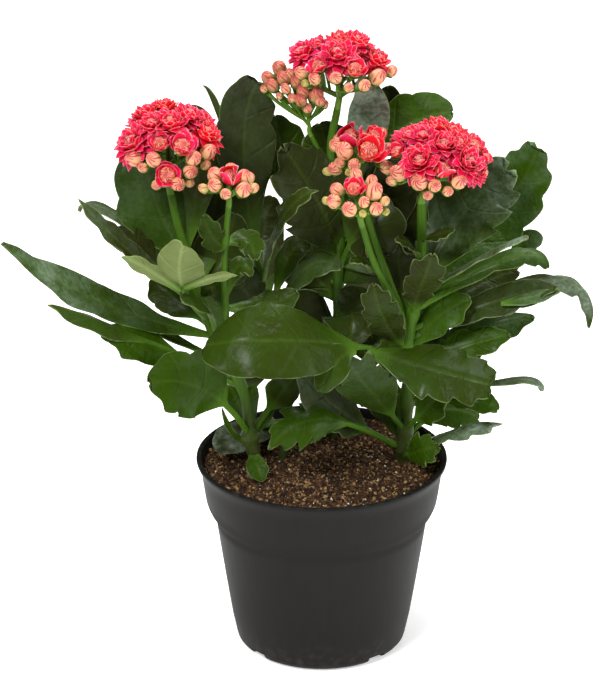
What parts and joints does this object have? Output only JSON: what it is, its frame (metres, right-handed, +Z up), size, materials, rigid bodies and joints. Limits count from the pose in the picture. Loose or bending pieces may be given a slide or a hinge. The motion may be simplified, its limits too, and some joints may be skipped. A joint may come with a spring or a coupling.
{
  "type": "potted kalanchoe",
  "caption": "Bushy flowering kalanchoe with lobed fleshy leaves and clusters of pink double flowers and buds, planted in a round charcoal nursery pot.",
  "frame": {"origin": "centre of the flat underside of the pot", "axes": "+Z up, +X to the right in the picture, -Y towards its camera"},
  "size_m": [0.2737, 0.1593, 0.2986],
  "materials": {
    "pot": "satin",
    "soil": "rough moist peat",
    "leaf": "fleshy, satin to glossy",
    "bud": "satin",
    "petal": "soft matte"
  },
  "bodies": {
    "root": {"pot": "pot", "soil": "soil", "leafy_stem_left": "leaf", "leafy_stem_right": "leaf", "leafy_stem_back": "leaf", "leafy_stem_centre": "leaf", "cyme_big_left": "bud", "cyme_small_left": "bud", "cyme_top": "bud", "cyme_upper_left": "bud", "cyme_middle": "bud", "cyme_front": "bud", "cyme_big_right": "bud", "blooms_big_left": "petal", "blooms_small_left": "petal", "blooms_top": "petal", "blooms_middle": "petal", "blooms_front": "petal", "blooms_big_right": "petal"}
  },
  "joints": []
}
